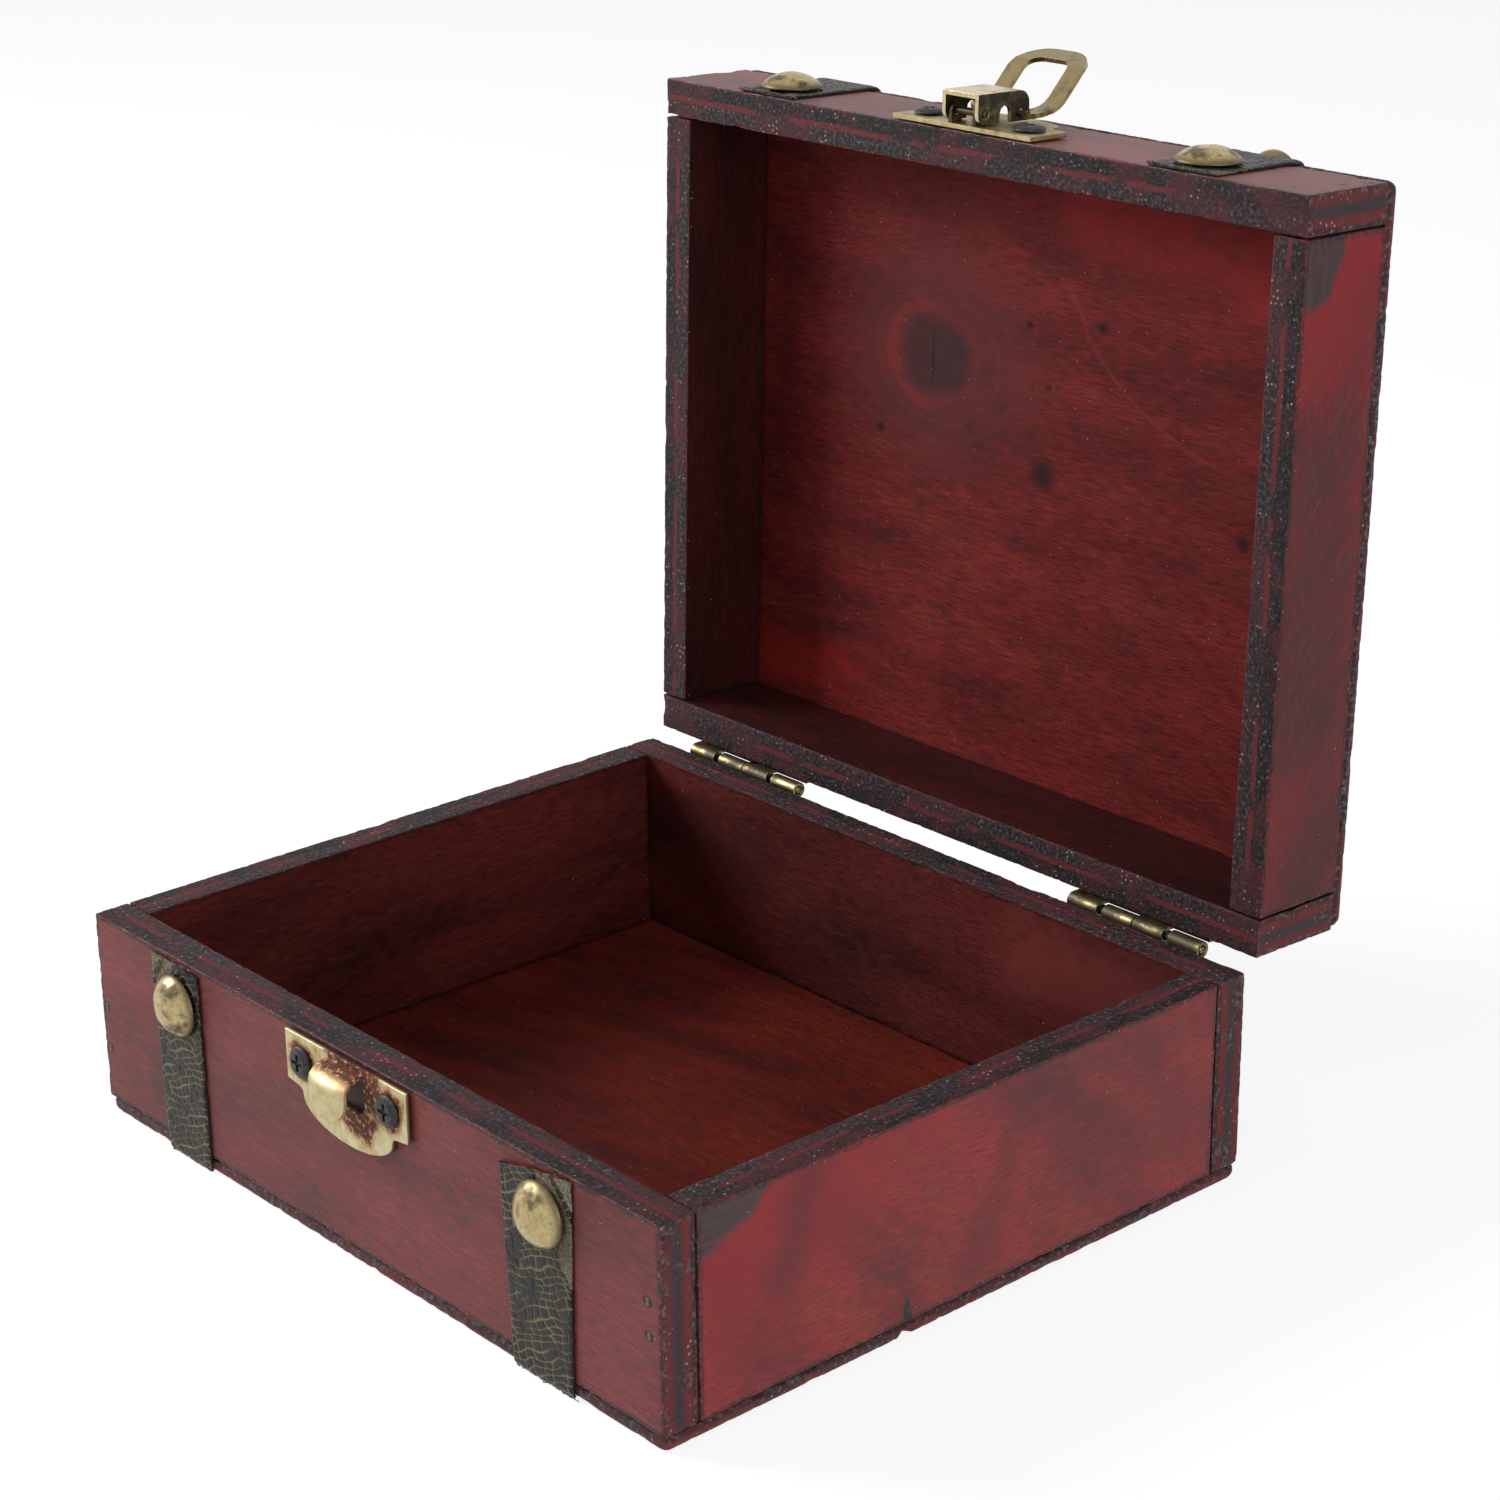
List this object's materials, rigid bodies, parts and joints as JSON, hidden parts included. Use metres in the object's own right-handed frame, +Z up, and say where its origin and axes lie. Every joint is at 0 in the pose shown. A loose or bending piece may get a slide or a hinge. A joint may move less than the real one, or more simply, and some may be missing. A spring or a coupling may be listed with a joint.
{
  "type": "treasure chest",
  "caption": "Small red-stained plywood treasure chest with a flat hinged lid, crackled straps held by domed brass nails, and a brass draw latch.",
  "frame": {"origin": "middle of the base's underside, where it stands on a surface", "axes": "+X to the right along the width as seen from the front, +Y from the front to the back, +Z up; the lid stands open"},
  "size_m": [0.16, 0.1741, 0.1858],
  "materials": {
    "stained_plywood": "thin red stain, rubbed and darkened at the edges, satin",
    "leatherette": "dark grey coating, crackled to its tan backing, satin",
    "bright_brass": "bright plated brass with rust at the cut edges",
    "aged_brass": "antique brass with dark patina and worn high spots",
    "black_steel": "black oxide steel"
  },
  "bodies": {
    "base": {"base_bottom": "stained_plywood", "base_front_wall": "stained_plywood", "base_back_wall": "stained_plywood", "base_left_wall": "stained_plywood", "base_right_wall": "stained_plywood", "base_strap_left": "leatherette", "base_strap_right": "leatherette", "base_nail_left": "aged_brass", "base_nail_right": "aged_brass", "catch_plate": "bright_brass", "catch_screw_left": "black_steel", "catch_screw_right": "black_steel", "hinge_left_base_leaf": "aged_brass", "hinge_left_base_screw_1": "black_steel", "hinge_left_base_screw_2": "black_steel", "hinge_left_pin": "aged_brass", "hinge_right_base_leaf": "aged_brass", "hinge_right_base_screw_1": "black_steel", "hinge_right_base_screw_2": "black_steel", "hinge_right_pin": "aged_brass"},
    "lid": {"lid_top_panel": "stained_plywood", "lid_front_wall": "stained_plywood", "lid_back_wall": "stained_plywood", "lid_left_wall": "stained_plywood", "lid_right_wall": "stained_plywood", "lid_strap_left": "leatherette", "lid_strap_right": "leatherette", "lid_front_nail_left": "aged_brass", "lid_front_nail_right": "aged_brass", "lid_top_nail_left": "aged_brass", "lid_top_nail_right": "aged_brass", "lid_back_nail_left": "aged_brass", "lid_back_nail_right": "aged_brass", "latch_plate": "bright_brass", "latch_pivot_pin": "aged_brass", "latch_screw_left": "black_steel", "latch_screw_right": "black_steel", "hinge_left_lid_leaf": "aged_brass", "hinge_left_lid_screw_1": "black_steel", "hinge_left_lid_screw_2": "black_steel", "hinge_right_lid_leaf": "aged_brass", "hinge_right_lid_screw_1": "black_steel", "hinge_right_lid_screw_2": "black_steel"},
    "lever": {"latch_lever": "aged_brass"},
    "loop": {"latch_loop": "aged_brass"}
  },
  "joints": [
    {"name": "lid_hinge", "type": "hinge", "parent": "base", "child": "lid", "pos_m": [0, 0.0684, 0.0399], "axis": [1, 0, 0], "range_deg": [0, 92]},
    {"name": "lever_pivot", "type": "hinge", "parent": "lid", "child": "lever", "pos_m": [0, 0.07622, 0.17791], "axis": [1, 0, 0], "range_deg": [0, 80]},
    {"name": "loop_pivot", "type": "hinge", "parent": "lever", "child": "loop", "pos_m": [0, 0.08539, 0.17699], "axis": [1, 0, 0], "range_deg": [0, 85]}
  ]
}
